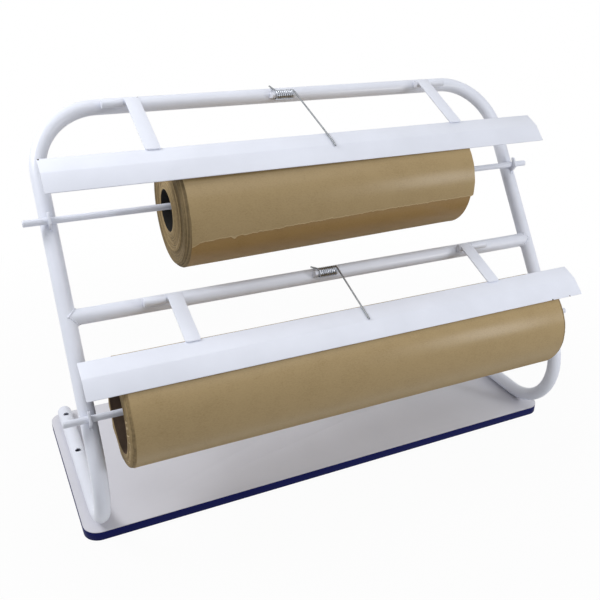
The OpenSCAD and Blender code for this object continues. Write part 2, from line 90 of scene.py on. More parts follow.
TIERS = {"upper": Tier(23.9098, 96.6375 * MM, 24, 14, 8 * MM, 4 * MM, 30.05 * MM, 26 * MM, 201.5 * MM),
         "lower": Tier(21.0621, 73.0915 * MM, 38, 35, 1.5 * MM, -1 * MM, 51.05 * MM, 47 * MM, 300 * MM)}

# Frame, hinges and springs, as in the part's source: places of hinges and spring posts are from a rail's axis
TUBE_R = 9.5 * MM
LEG_X = 330 * MM
LEAN = math.radians(35)
LEG_UP = Vector((0, math.sin(LEAN), math.cos(LEAN)))
LEG_OUT = Vector((0, -math.cos(LEAN), math.sin(LEAN)))
HINGE_OFF = 15.15 * MM
POST_OFF = 16.4 * MM
PART_GAP = 0.4 * MM

# Tear bars: height of a bar's upper face over the hinge's axis, width of its two faces, and the fold between them
BAR_V = 4.0 * MM
TOP_FLANGE = 23.5 * MM
TEAR_FLANGE = 25 * MM
FOLD = math.radians(20)

# Torn end of the upper paper: place along the roll (mm), direction above the front horizontal (degrees)
TORN_LINE = ((-195, -22.0), (-192, -20.5), (-182, -16.0), (-161, -15.5), (-133, -15.0), (-101, -14.6), (-51, -12.8),
             (-1, -12.2), (49, -11.3), (99, -11.1), (203, -10.9))
FRAYS = ((1.2, 90, 3.1), (1.2, 420, 9.7))  # depth (mm), waves per metre, place in the noise
NICK_X, NICK_WIDTH, NICK_DEPTH = -142, 3.0, 3.6  # the one deep nick in that end (mm)
SHEET_REACH = math.radians(300)  # how far the loose outer sheet goes round the roll
SHEET_CELLS = (260, 150)  # along the roll, round it
SHEET_CROWD = 2.2  # power that crowds these cells toward the torn end
FRAY_FADE, LIFT_FADE = 12, 30  # how fast the fraying and the lift of that end fade round the roll
EDGE_LIFT, TUCK = 0.2 * MM, 0.35 * MM  # lift of that end, and depth of the other one under the loose turns
SHEET_WAVE = 0.06 * MM
RIM_SHARE, RIM_WAVE = 0.02, 0.4 * MM  # share of the sheet at each rim that is uneven, and by how much
PALE_EDGE = (1.2, 0.9, 0.7)  # width of the pale torn edge, and its growth with fraying and with the nick (mm)

# How far the turns of the upper roll's left end sit back, from the core to the rim (radius, depth, mm)
SLIP_LINE = ((30, -2.0), (33, -1.6), (38, 0.3), (48.6, 0.2), (49.4, -0.4), (50.2, -0.2), (51.2, 1.7), (58, 1.4),
             (63.5, 0.8), (64.5, 0.7), (65.5, 2.6), (68, 5.0), (69.2, 7.6))
SLIP_STEP_R = 50.2 * MM  # where that line steps back
CORE_PROUD = 2 * MM  # of the core's left end past the paper
GROOVES = (65.4 * MM, 67.6 * MM)  # radius of the deep gaps between the outer turns there
GROOVE_DEPTH = 2.4 * MM
SLIP_ROUGH = 0.8 * MM  # extra depth of the rough notches there
INSET, INSET_RUN = 0.4 * MM, 14 * MM  # of the right end's turns, and of the outer ones that go further

# Groups of turns on a roll's end, and the waves in its outer turn
DRIFT_KEPT, DRIFT_STEP = 0.6, 0.25  # share of the last group's drift that is kept, and a group's own (mm)
NOTCH = (0.1, 0.3)  # least and most depth of a notch between two groups (mm)
ROUGH_SHARE = 0.3  # share of the notches that are deeper
NOTCH_FROM, NOTCH_AT = 0.3, 0.15  # where a notch starts and is deepest, as shares of a group before its end
PAPER_DENT = 0.14  # mm
DENT_ALONG, DENT_ROUND = 22, 18  # waves per metre
CRUMPLE_RUN = 2 * MM  # of the lower roll's crumpling past its worn rim
CRUMPLE_WAVES = (75, 260)  # coarse and fine, per metre

# The outer turns of the upper roll are loose and hang off the tight ones, most at the left end
LOOSE_SAG = 2.6 * MM
LOOSE_FROM, LOOSE_TO = 52 * MM, 68 * MM  # radius of the first loose turn, and of the first one that hangs fully
LOOSE_START, LOOSE_RUN = 200, 390  # place where the sag starts, and its run to the left (mm)
LOOSE_LEAST = 0.08  # share of the sag that is left at the right end
UNDER_FULL, UNDER_FADE = math.radians(28), math.radians(30)  # painted shade on the turns below the torn end, partly their duller side, and how it fades

# Chips in the paint: tier, place along X (mm), then on a rail the direction above the front horizontal (degrees),
# on a bar the place across its upper face (mm from its rear edge, None at the tear edge), and the radius (mm)
RAIL_CHIPS = (("upper", -198.5, 75, 1.1), ("lower", -321.5, -28, 1.9), ("lower", -318.5, -50, 1.3))
BAR_CHIPS = (("upper", -334.3, 1.2, 1.2), ("lower", 283.9, None, 1.2), ("lower", 314.2, None, 1.0))
CHIP_T = 0.12 * MM
CHIP_BACK = 0.4  # share of its radius that a chip lies back from the tear edge

# Torn bits on the lower roll's left end: depth, radius, direction, length, width (mm, degrees)
SHREDS = ((0.3, 53.0, 21, 4, 3), (0.4, 52.5, 14, 3, 4), (0.3, 53.5, 6, 5, 2.5), (0.5, 54.0, -4, 3, 3),
          (2.0, 50.0, -24, 5, 2), (3.0, 49.8, -28, 4, 3), (0.5, 56.0, -40, 3, 2))
SHRED_T = 0.2 * MM
SHRED_LEAN, SHRED_CURL = 20, 75  # lean of a bit's root out of the end, and how far its tip curls on (degrees)
SHRED_TAPER = 0.5

# Weld beads
BEAD_SINK = 0.3 * MM  # of a bead's middle into the tube
RAIL_BEADS, HINGE_BEADS, HOOK_BEADS = 36, 14, 9
RAIL_BEAD_R, HINGE_BEAD_R, HOOK_BEAD_R, POST_BEAD_R = 1.5 * MM, 1.2 * MM, 0.75 * MM, 1.1 * MM
BEAD_SPREAD, BEAD_STRAY = 0.15, 0.2  # share by which the beads differ in size, and how far they stray (mm)
RAIL_RING = 0.97  # share of the tube's radius at which the middle rail's beads lie
HINGE_WELD = (3 * MM, 23 * MM)  # from the outer end of a fixed barrel
HINGE_WELD_SIDE, POST_WELD_SIDE = 2.8, 3.0  # from the middle of a barrel or post to its welds (mm)
HOOK_WELD_SIDE, HOOK_WELD_BACK = 1.6 * MM, 4.5 * MM  # from the middle of a hook's plate, and from its spindle's axis
HOOK_WELD_DOWN = 4  # from that axis down to the first bead (mm)
POST_WELD_X = (-23.1, 9.1)  # middles of the spring posts' welds (mm)
POST_BEAD_STEP, POST_BEAD_OUT = 1.3, 0.2 * MM  # between two beads (mm), and out of the tube

# Fineness of the meshes
WIRE_SIDES, TURN_STEPS = 14, 36
LEG_STEPS, BEND_STEPS = 40, 13  # steps of a spring's leg, and those of them where it bends as its bar lifts
ROLL_STEPS, ROLL_CELLS, CORE_STEPS = 180, 90, 120
MERGE = 0.002 * MM  # points this near to each other are one


def sag(x, angle):
    """How far the loose outer turns of the upper roll hang off the tight ones, more to the left and below."""
    share = min(1.0, max(LOOSE_LEAST, (LOOSE_START - x / MM) / LOOSE_RUN))
    return LOOSE_SAG * share * ((1 - math.sin(angle)) / 2) ** 2


def torn_direction(x):
    """Direction of the torn end at a place along the upper roll, in radians above the front horizontal."""
    return math.radians(between(TORN_LINE, x / MM))


def number_property(name, description, default, **kind):
    """A number, plain or of a kind."""
    return FloatProperty(name=name, description=description, default=default, **kind)


def length_property(name, description, size):
    """A length, given in millimetres."""
    return number_property(name, description, size * MM, unit="LENGTH")


def angle_property(name, description, degrees):
    """An angle, given in degrees."""
    return number_property(name, description, math.radians(degrees), subtype="ANGLE")


class PaperStandSizes(PropertyGroup):
    """Sizes of the pieces that are modelled here."""
    wire_d: length_property("Spring wire", "Diameter of the spring wire", 2.2)
    coil_d: length_property("Coil", "Diameter of the coil at the middle of the wire", 11)
    coil_len: length_property("Coil length", "Length of the coil along the rail", 25)
    coil_x: length_property("Coil place", "Place of the coil's middle along the rail", -7)
    coil_turns: IntProperty(name="Turns", description="Turns of each spring", default=9)
    rail_leg: length_property("Rail leg", "Length of the spring's leg over the rail", 22)
    leg_foot: length_property("Leg foot", "Length of the bent foot of the leg on the bar", 7)
    upper_roll_r: length_property("Upper roll radius", "Outer radius of the upper paper", 70)
    lower_roll_r: length_property("Lower roll radius", "Outer radius of the lower paper", 64.2)
    layer_t: length_property("Layer step", "Width of a visible group of turns on a roll's end", 1.1)
    lip_r: length_property("Worn rim", "Rounding of the lower roll's worn rims", 6)
    crumple: length_property("Crumpling", "Depth of the dents in the lower roll's ends", 0.8)
    overhang: length_property("Overhang", "Run of the loose sheet past the turns under it", 1.8)
    turn_step: length_property("Turn step", "Step from the loose sheet down to the turns under it", 0.8)
    sheet_t: length_property("Loose sheet", "Thickness of the loose outer sheet", 0.25)
    edge_round: length_property("Edge rounding", "Radius of painted sheet edges", 0.35)
    rim_round: length_property("Board rim", "Radius of the board's laminate and band rims", 0.5)
    fold_round: length_property("Fold rounding", "Radius of the tear bars' fold", 0.7)


def srgb(code):
    """sRGB hex as three values from 0 to 1."""
    return tuple(int(code[i:i + 2], 16) / 255 for i in (1, 3, 5))


def linear(value):
    """sRGB values, or an sRGB hex, as a linear colour with alpha."""
    parts = srgb(value) if isinstance(value, str) else value
    return tuple(c / 12.92 if c <= 0.04045 else ((c + 0.055) / 1.055) ** 2.4 for c in parts) + (1.0,)


def colour_property(name, code):
    """A colour, given as an sRGB hex."""
    return FloatVectorProperty(name=name, description=name + " colour", subtype="COLOR_GAMMA", size=3,
                               min=0, max=1, default=srgb(code))


class PaperStandColours(PropertyGroup):
    """Colours of the finishes."""
    paint: colour_property("White powder coat", "#E4E8F4")
    laminate: colour_property("Board laminate", "#D4D4DC")
    band: colour_property("Edge band", "#0E1552")
    kraft: colour_property("Kraft paper", "#A8926B")
    kraft_dark: colour_property("Kraft paper, fibre", "#9B855E")
    card: colour_property("Card core", "#5C4A3B")
    # The upper core's inside is painted near black as the shade deep in its hole
    painted_shade_core: colour_property("Dark core", "#171615")
    zinc: colour_property("Zinc plated wire", "#BCC0C8")
    dull_zinc: colour_property("Rubbed spring legs", "#8E9195")
    bare_steel: colour_property("Bare steel", "#453C38")


class PaperStandStage(PropertyGroup):
    """Camera and light."""
    camera_at: FloatVectorProperty(name="Camera place", description="Place of the camera",
                                   subtype="TRANSLATION", default=(-0.42133, -0.89711, 0.67771))
    yaw: angle_property("Yaw", "Turn of the camera from the back to the right", 27.33)
    pitch: angle_property("Pitch", "Tilt of the camera below the horizon", 25.67)
    roll: angle_property("Roll", "Turn of the camera about its own axis", 1.83)
    lens: number_property("Lens", "Focal length on a 36 mm sensor", 46.11)
    shift_x: number_property("Shift", "Sideways shift of the lens", -0.05)
    key_power: number_property("Key light", "Power of the softbox at the front", 3.9)
    left_power: number_property("Left light", "Power of the softbox over the left side", 8.8)
    top_power: number_property("Top light", "Power of the overhead softbox", 1.5)
    side_power: number_property("Side light", "Power of the small softbox low at the right front", 2.6)
    sky: number_property("Sky", "Strength of the even light from all round", 0.46)


# Materials

def add(tree, kind, links=None, **settings):
    """Adds a node to a tree. A setting whose name is a socket's sets that socket, and links join sockets."""
    n = tree.nodes.new(kind)
    for key, value in settings.items():
        if hasattr(n, key):
            setattr(n, key, value)
        else:
            n.inputs[int(key[1:]) if key[1:].isdigit() else key.replace("_", " ")].default_value = value
    for key, (other, out) in (links or {}).items():
        tree.links.new(other.outputs[out], n.inputs[key])
    return n


def start_material(name):
    """A new material, its tree with only a shader, and the piece's own coordinates."""
    m = bpy.data.materials.new(name)
    m.use_nodes = True
    t = m.node_tree
    t.nodes.clear()
    add(t, "ShaderNodeOutputMaterial", {"Surface": (add(t, "ShaderNodeBsdfPrincipled"), "BSDF")})
    return m, t, add(t, "ShaderNodeTexCoord")


def per_mm(size):
    """Texture scale at which a feature measures so many millimetres."""
    return 1 / (size * MM)


def ramp(tree, fac, stops):
    """Colour ramp over a factor, as (place, linear colour) stops."""
    n = add(tree, "ShaderNodeValToRGB", {"Fac": fac})
    while len(n.color_ramp.elements) < len(stops):
        n.color_ramp.elements.new(0.5)
    for e, (place, colour) in zip(n.color_ramp.elements, stops):
        e.position = place
        e.color = colour
    return n


def shade(colour, factor):
    """A linear colour made lighter or darker."""
    return tuple(min(1, c * factor) for c in colour[:3]) + (1.0,)


def speckle(tree, at, size, detail):
    """Noise in the piece's own space, with features of about so many millimetres."""
    return add(tree, "ShaderNodeTexNoise", {"Vector": (at, "Object")}, Scale=per_mm(size), Detail=detail)


def mottle(tree, texture, base, low, high):
    """A linear colour that a noise varies from a darker to a lighter shade."""
    return ramp(tree, (texture, 0), ((0.3, shade(base, low)), (0.7, shade(base, high))))


def relief(tree, height, strength, depth):
    """Bump from a node's first output, so many millimetres deep."""
    return add(tree, "ShaderNodeBump", {"Height": (height, 0)}, Strength=strength, Distance=depth * MM)


def find(tree, kind):
    """The one node of a kind in a tree."""
    return next(n for n in tree.nodes if n.type == kind)


def set_shader(m, tone, bump=None, gloss=None, **values):
    """Joins the first outputs of a colour, a bump and a gloss node to a material's shader, and sets plain values."""
    shader = find(m.node_tree, "BSDF_PRINCIPLED")
    for key, node in (("Base Color", tone), ("Roughness", gloss), ("Normal", bump)):
        if node:
            m.node_tree.links.new(node.outputs[0], shader.inputs[key])
    for key, value in values.items():
        shader.inputs[key.replace("_", " ")].default_value = value
    return m


def powder_coat(colour):
    """Gloss polyester powder coat on steel: an even white with a faint orange peel and soft highlights."""
    m, t, at = start_material("white powder coat")
    cloud = speckle(t, at, 45, 3.0)
    tone = mottle(t, cloud, linear(colour), 0.965, 1.02)
    bump = relief(t, speckle(t, at, 2.2, 2.0), 0.16, 0.15)
    gloss = add(t, "ShaderNodeMapRange", {"Value": (cloud, "Fac")}, i3=0.3, i4=0.4)
    return set_shader(m, tone, bump, gloss, IOR=1.5)


def bare_steel(colour):
    """Mild steel in a chip of the paint: dark, uneven, partly rusted over."""
    m, t, at = start_material("bare steel chip")
    base = linear(colour)
    tone = ramp(t, (speckle(t, at, 6, 4.0), "Fac"), ((0.35, shade(base, 0.6)), (0.65, shade(base, 1.5))))
    return set_shader(m, tone, Metallic=0.5, Roughness=0.5)


def board_laminate(colour):
    """Melamine laminate on board: pale grey-white, satin, with a fine pebble from the press plate."""
    m, t, at = start_material("melamine laminate")
    tone = mottle(t, speckle(t, at, 90, 4.0), linear(colour), 0.96, 1.02)
    bump = relief(t, speckle(t, at, 1.6, 2.0), 0.12, 0.1)
    return set_shader(m, tone, bump, Roughness=0.34, IOR=1.5)


def band_plastic(colour):
    """Extruded ABS edging: saturated navy with fine lines along the strip and a satin face."""
    m, t, at = start_material("navy edging")
    flow = add(t, "ShaderNodeMapping", {"Vector": (at, "Object")}, Scale=(per_mm(60), per_mm(60), per_mm(1.2)))
    lines = add(t, "ShaderNodeTexNoise", {"Vector": (flow, "Vector")}, Scale=1.0, Detail=3.0)
    tone = mottle(t, lines, linear(colour), 0.85, 1.15)
    bump = relief(t, lines, 0.1, 0.1)
    return set_shader(m, tone, bump, Roughness=0.55, Specular_IOR_Level=0.1)


def chipboard():
    """Raw chipboard on the underside: flakes of wood in several browns, dull."""
    m, t, at = start_material("chipboard")
    flat = add(t, "ShaderNodeMapping", {"Vector": (at, "Object")}, Scale=(per_mm(7), per_mm(3), per_mm(3)))
    flakes = add(t, "ShaderNodeTexVoronoi", {"Vector": (flat, "Vector")}, Scale=1.0)
    tone = ramp(t, (flakes, "Color"), ((0.1, linear("#8C6F4B")), (0.5, linear("#AD8F66")), (0.9, linear("#C4A880"))))
    bump = relief(t, flakes, 0.2, 0.2)
    return set_shader(m, tone, bump, Roughness=0.8)


def zinc_wire(name, colour, rough):
    """Zinc plated spring wire: grey metal with a slightly cloudy skin, duller where it is rubbed."""
    m, t, at = start_material(name)
    cloud = speckle(t, at, 3, 4.0)
    tone = mottle(t, cloud, linear(colour), 0.72, 1.15)
    gloss = add(t, "ShaderNodeMapRange", {"Value": (cloud, "Fac")}, i3=rough, i4=rough + 0.15)
    return set_shader(m, tone, None, gloss, Metallic=1.0)


def kraft_paper(colour, fibre_colour):
    """Machine-glazed kraft: brown, with fine fibres, a cloudy formation and a satin outer side.
    Fibres are drawn about twice as coarse as real ones, so that they show. The attribute torn marks the pale
    torn edge, and under marks painted shade on the turns below it, partly their duller side. The gloss goes where the
    sheet is seen edge-on."""
    m, t, at = start_material("kraft paper")
    base, dark = linear(colour), linear(fibre_colour)
    fibre_map = add(t, "ShaderNodeMapping", {"Vector": (at, "Object")},
                    Scale=(per_mm(2.6), per_mm(1.2), per_mm(1.2)))
    fibre = add(t, "ShaderNodeTexNoise", {"Vector": (fibre_map, "Vector")}, Scale=1.0, Detail=5.0, Roughness=0.7)
    cloud = add(t, "ShaderNodeTexNoise", {"Vector": (at, "Object")}, Scale=per_mm(28), Detail=5.0, Roughness=0.6)
    fine = add(t, "ShaderNodeMix", {"A": (fibre, "Fac"), "B": (cloud, "Fac")}, data_type="FLOAT", i0=0.3)
    tone = ramp(t, (fine, "Result"), ((0.32, dark), (0.52, base), (0.72, shade(base, 1.05))))
    torn = add(t, "ShaderNodeAttribute", attribute_name="torn")
    pale = add(t, "ShaderNodeMix", {"Factor": (torn, "Fac"), "A": (tone, "Color")}, data_type="RGBA")
    pale.inputs["B"].default_value = linear("#C6B08A")
    # The attribute under brings painted shade: it darkens the turns below the torn end, partly for the paper's duller
    # side
    under = add(t, "ShaderNodeAttribute", attribute_name="under")
    dim = ramp(t, (under, "Fac"), ((0.0, (1, 1, 1, 1)), (1.0, (0.86, 0.75, 0.6, 1))))
    look = add(t, "ShaderNodeVectorMath", {0: (pale, "Result"), 1: (dim, "Color")}, operation="MULTIPLY")
    bump = relief(t, fine, 0.2, 0.12)
    gloss = add(t, "ShaderNodeMapRange", {"Value": (fine, "Result")}, i3=0.24, i4=0.34)
    edge_on = add(t, "ShaderNodeLayerWeight", Blend=0.5)
    dull = add(t, "ShaderNodeMapRange", {"Value": (edge_on, "Facing")}, i1=0.5, i2=0.85, i3=0.0, i4=0.45)
    total = add(t, "ShaderNodeMath", {0: (gloss, "Result"), 1: (dull, "Result")}, operation="ADD")
    return set_shader(m, look, bump, total, IOR=1.47, Specular_IOR_Level=0.22)


def wound_edge(name, place, colour, dark_colour, step_r=None):
    """Cut edges of wound paper on a roll's end: thin rings in light and dark browns, dull and fibrous.
    Past a step in the turns, at step_r, the turns that sit back are painted darker as shade, and those inside the step
    lighter as painted light."""
    m, t, at = start_material(name)
    base, dark = shade(linear(colour), 0.95), linear(dark_colour)
    own = add(t, "ShaderNodeMapping", {"Vector": (at, "Object")}, vector_type="TEXTURE",
              Location=place.to_translation(), Rotation=place.to_euler())
    flat = add(t, "ShaderNodeVectorMath", {0: (own, "Vector")}, operation="MULTIPLY", i1=(0, 1, 1))
    radius = add(t, "ShaderNodeVectorMath", {0: (flat, "Vector")}, operation="LENGTH")
    count = add(t, "ShaderNodeMath", {0: (radius, "Value")}, operation="MULTIPLY", i1=per_mm(1.3))
    rings = add(t, "ShaderNodeTexNoise", {"W": (count, "Value")}, noise_dimensions="1D", Scale=1.0, Detail=3.0)
    dust = speckle(t, at, 4, 4.0)
    mixed = add(t, "ShaderNodeMix", {"A": (rings, "Fac"), "B": (dust, "Fac")}, data_type="FLOAT", i0=0.3)
    tone = ramp(t, (mixed, "Result"),
                ((0.36, shade(dark, 0.55)), (0.5, shade(dark, 0.9)), (0.66, shade(base, 1.1))))
    bump = relief(t, mixed, 0.4, 0.3)
    # Painted shade and light: the turns that sit back past the step are darker, those inside it lighter
    if step_r:
        painted_step_light_and_shade = add(t, "ShaderNodeMapRange", {"Value": (radius, "Value")},
                    i1=step_r, i2=step_r + 1.5 * MM, i3=1.1, i4=0.76)
        tone = add(t, "ShaderNodeVectorMath", {0: (tone, "Color"), "Scale": (painted_step_light_and_shade, "Result")}, operation="SCALE")
    return set_shader(m, tone, bump, Roughness=0.85)


def card_tube(name, colour):
    """Spiral wound card tube: dull brown, with a seam that winds along it."""
    m, t, at = start_material(name)
    skew = add(t, "ShaderNodeMapping", {"Vector": (at, "Object")}, Rotation=(0, 0, 0.6),
               Scale=(per_mm(8), per_mm(60), per_mm(60)))
    ply = add(t, "ShaderNodeTexNoise", {"Vector": (skew, "Vector")}, Scale=1.0, Detail=4.0)
    tone = mottle(t, ply, linear(colour), 0.75, 1.2)
    bump = relief(t, ply, 0.25, 0.2)
    return set_shader(m, tone, bump, Roughness=0.8)


def plug_plastic():
    """Moulded polypropylene: near black, dull, with a fine spark-eroded grain."""
    m, t, at = start_material("black polypropylene")
    grain = speckle(t, at, 1.2, 3.0)
    tone = ramp(t, (grain, "Fac"), ((0.3, linear("#161617")), (0.7, linear("#232325"))))
    bump = relief(t, grain, 0.2, 0.1)
    return set_shader(m, tone, bump, Roughness=0.6)


def seen_directly(tree):
    """1 for rays from the camera, by reflection or through glass, 0 for the light that falls on things."""
    path = add(tree, "ShaderNodeLightPath")
    seen = add(tree, "ShaderNodeMath", {0: (path, "Is Camera Ray"), 1: (path, "Is Glossy Ray")}, operation="MAXIMUM")
    return add(tree, "ShaderNodeMath", {0: (seen, "Value"), 1: (path, "Is Transmission Ray")}, operation="MAXIMUM")


def floor_finish():
    """Seamless pale paper sweep: white to the camera, with the object's own soft shadow kept."""
    m, t, at = start_material("white sweep")
    tone = ramp(t, (speckle(t, at, 400, 2.0), "Fac"), ((0.3, linear("#C0C0C0")), (0.7, linear("#C6C6C6"))))
    set_shader(m, tone, Roughness=0.9)
    away = add(t, "ShaderNodeVectorMath", {0: (at, "Object")}, operation="LENGTH")
    fade = add(t, "ShaderNodeMapRange", {"Value": (away, "Value")}, i1=0.4, i2=0.9, i3=0.96, i4=1.0)
    amount = add(t, "ShaderNodeMath", {0: (seen_directly(t), "Value"), 1: (fade, "Result")}, operation="MULTIPLY")
    glow = add(t, "ShaderNodeEmission", Color=(1, 1, 1, 1), Strength=1.0)
    paper = find(t, "BSDF_PRINCIPLED")
    mix = add(t, "ShaderNodeMixShader", {"Fac": (amount, "Value"), 1: (paper, "BSDF"), 2: (glow, "Emission")})
    t.links.new(mix.outputs["Shader"], find(t, "OUTPUT_MATERIAL").inputs["Surface"])
    return m


FINISH = {}


def make_finishes(c):
    """Makes every material once, from the colours."""
    FINISH.update({
        "paint": powder_coat(c.paint), "chip": bare_steel(c.bare_steel),
        "laminate": board_laminate(c.laminate), "band": band_plastic(c.band), "chipboard": chipboard(),
        "zinc": zinc_wire("zinc plated wire", c.zinc, 0.18),
        "dull_zinc": zinc_wire("rubbed zinc plated wire", c.dull_zinc, 0.32),
        "kraft": kraft_paper(c.kraft, c.kraft_dark),
        "card": card_tube("card tube", c.card), "painted_shade_core": card_tube("dark card tube", c.painted_shade_core),
        "plug": plug_plastic()})
    for tier in TIERS:
        step_r = SLIP_STEP_R if tier == "upper" else None
        FINISH[tier + "_ends"] = wound_edge(tier + " roll ends", ROLL[tier], c.kraft, c.kraft_dark, step_r)


# Mesh helpers

def make_piece(name, bm, finishes, body, replaces=(), sharp=35):
    """A piece from a bmesh, at the origin, that rides on a body and may stand for CAD nodes."""
    bmesh.ops.recalc_face_normals(bm, faces=bm.faces)
    mesh = bpy.data.meshes.new(name)
    bm.to_mesh(mesh)
    bm.free()
    for f in finishes:
        mesh.materials.append(FINISH[f])
    mesh.polygons.foreach_set("use_smooth", [True] * len(mesh.polygons))
    mesh.set_sharp_from_angle(angle=math.radians(sharp))
    piece = bpy.data.objects.new(name, mesh)
    bpy.context.scene.collection.objects.link(piece)
    if body:
        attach(piece, body)
    if replaces:
        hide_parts(*replaces)
    return piece


def cad_copy(node):
    """A CAD node's shape as a bmesh, with its triangles merged into whole faces."""
    bm = bmesh.new()
    bm.from_mesh(frame["nodes"][node].data)
    bmesh.ops.remove_doubles(bm, verts=bm.verts, dist=MERGE)
    bmesh.ops.dissolve_limit(bm, angle_limit=math.radians(0.5), verts=bm.verts, edges=bm.edges,
                             use_dissolve_boundaries=False)
    return bm


def round_edges(bm, width, segments, low, high=180.0):
    """Rounds the edges whose faces meet at an angle between low and high degrees."""
    picked = [e for e in bm.edges if len(e.link_faces) == 2
              and math.radians(low) < e.calc_face_angle(0) < math.radians(high)]
    if picked:
        bmesh.ops.bevel(bm, geom=picked, offset=width, offset_type="OFFSET", affect="EDGES", segments=segments,
                        profile=0.5, material=-1, clamp_overlap=True)


def soften(node, ending, body, *rounds, finish="paint", slot="white_paint", sharp=40):
    """A piece that stands for a CAD node, with some of its edges rounded, as in round_edges."""
    bm = cad_copy(node)
    for r in rounds:
        round_edges(bm, *r)
    make_piece(node + ending, bm, (finish,), body, (node,), sharp)


def toward(degrees):
    """Direction in the side view, at an angle above the front horizontal."""
    a = math.radians(degrees)
    return Vector((0, -math.cos(a), math.sin(a)))


def arm_point(tier, u, v):
    """Point of an arm's own view: u along the arm from its hinge, v out of its upper face."""
    tilt = TIERS[tier].tilt
    return AXIS[tier + "_bar"] + u * toward(-tilt) + v * toward(90 - tilt)


def rail_axis(tier):
    """Point on the axis of the rail that carries a tier's hinges."""
    return AXIS[tier + "_bar"] - HINGE_OFF * toward(TIERS[tier].hinge_dir)


def between(line, x):
    """Value at a place on a line of (place, value) points."""
    for (xa, a), (xb, b) in zip(line, line[1:]):
        if x <= xb:
            break
    return a + (b - a) * min(1.0, max(0.0, (x - xa) / (xb - xa)))


# Operators

class PAPERSTAND_OT_finishes(Operator):
    """Make the materials, and put them on the solids that stay as they are"""
    bl_idname = "paper_stand.finishes"
    bl_label = "Finishes"

    def execute(self, context):
        make_finishes(context.scene.paper_stand_colours)
        kinds = {"board": "chipboard", "screws": "zinc", "plug": "plug"}
        for node in frame["nodes"]:
            materials = frame["nodes"][node].data.materials
            materials.clear()
            materials.append(FINISH[kinds.get(node.split("_")[-1], "paint")])
        return {"FINISHED"}


class PAPERSTAND_OT_soft_edges(Operator):
    """Model the board's skins, the foot ends and the sheet metal as whole faces with softened edges"""
    bl_idname = "paper_stand.soft_edges"
    bl_label = "Soft edges"

    def execute(self, context):
        s = context.scene.paper_stand_sizes
        rim = (s.rim_round, 2, 60)
        soften("top_laminate", "_sheet", "frame", rim, finish="laminate", slot="laminate")
        soften("edge_band", "_sheet", "frame", rim, finish="band", slot="edge_band")
        for side in SIDES:
            soften(side + "_foot_cap", "_dome", "frame")
        for tier in TIERS:
            soften(tier + "_tear_bar", "_sheet", tier + "_bar", (s.fold_round, 3, 10, 60), (s.edge_round, 2, 60),
                   sharp=50)
        for tier in TIERS:
            for side in SIDES:
                for kind, body in (("arm", tier + "_bar"), ("hook", "frame"), ("hinge", "frame"),
                                   ("knuckle", tier + "_bar")):
                    soften(f"{tier}_{side}_{kind}", "_soft", body, (s.edge_round, 2, 50))
        return {"FINISHED"}


class PAPERSTAND_OT_chips(Operator):
    """Knock a few small chips into the paint of the rails and the bars"""
    bl_idname = "paper_stand.chips"
    bl_label = "Paint chips"

    def execute(self, context):
        rng = random.Random(3)
        made = {}

        def chip(body, at, face, size):
            if body not in made:
                made[body] = bmesh.new()
            bm = made[body]
            verts = bmesh.ops.create_icosphere(bm, subdivisions=2, radius=size)["verts"]
            for v in verts:
                v.co *= rng.uniform(0.75, 1.2)
            bmesh.ops.scale(bm, verts=verts, vec=(1, 1, CHIP_T / size))
            bmesh.ops.rotate(bm, verts=verts, cent=(0, 0, 0),
                             matrix=Vector((0, 0, 1)).rotation_difference(face).to_matrix())
            bmesh.ops.translate(bm, verts=verts, vec=at)

        for tier, x, angle, size in RAIL_CHIPS:
            spot = rail_axis(tier) + TUBE_R * toward(angle)
            chip("frame", Vector((x * MM, spot.y, spot.z)), toward(angle), size * MM)
        for tier, x, u, size in BAR_CHIPS:
            tilt, length = TIERS[tier].tilt, TIERS[tier].arm_len
            if u is None:
                run, rise = TEAR_FLANGE * math.cos(FOLD), -TEAR_FLANGE * math.sin(FOLD)
                spot = arm_point(tier, length + TOP_FLANGE + run, BAR_V + rise)
                face = toward(90 - tilt - math.degrees(FOLD))
                spot -= CHIP_BACK * size * MM * toward(-tilt - math.degrees(FOLD))
            else:
                spot = arm_point(tier, length + u * MM, BAR_V)
                face = toward(90 - tilt)
            chip(tier + "_bar", Vector((x * MM, spot.y, spot.z)), face, size * MM)
        for body, bm in made.items():
            make_piece(body + "_paint_chips", bm, ("chip",), body, (), 60)
        return {"FINISHED"}


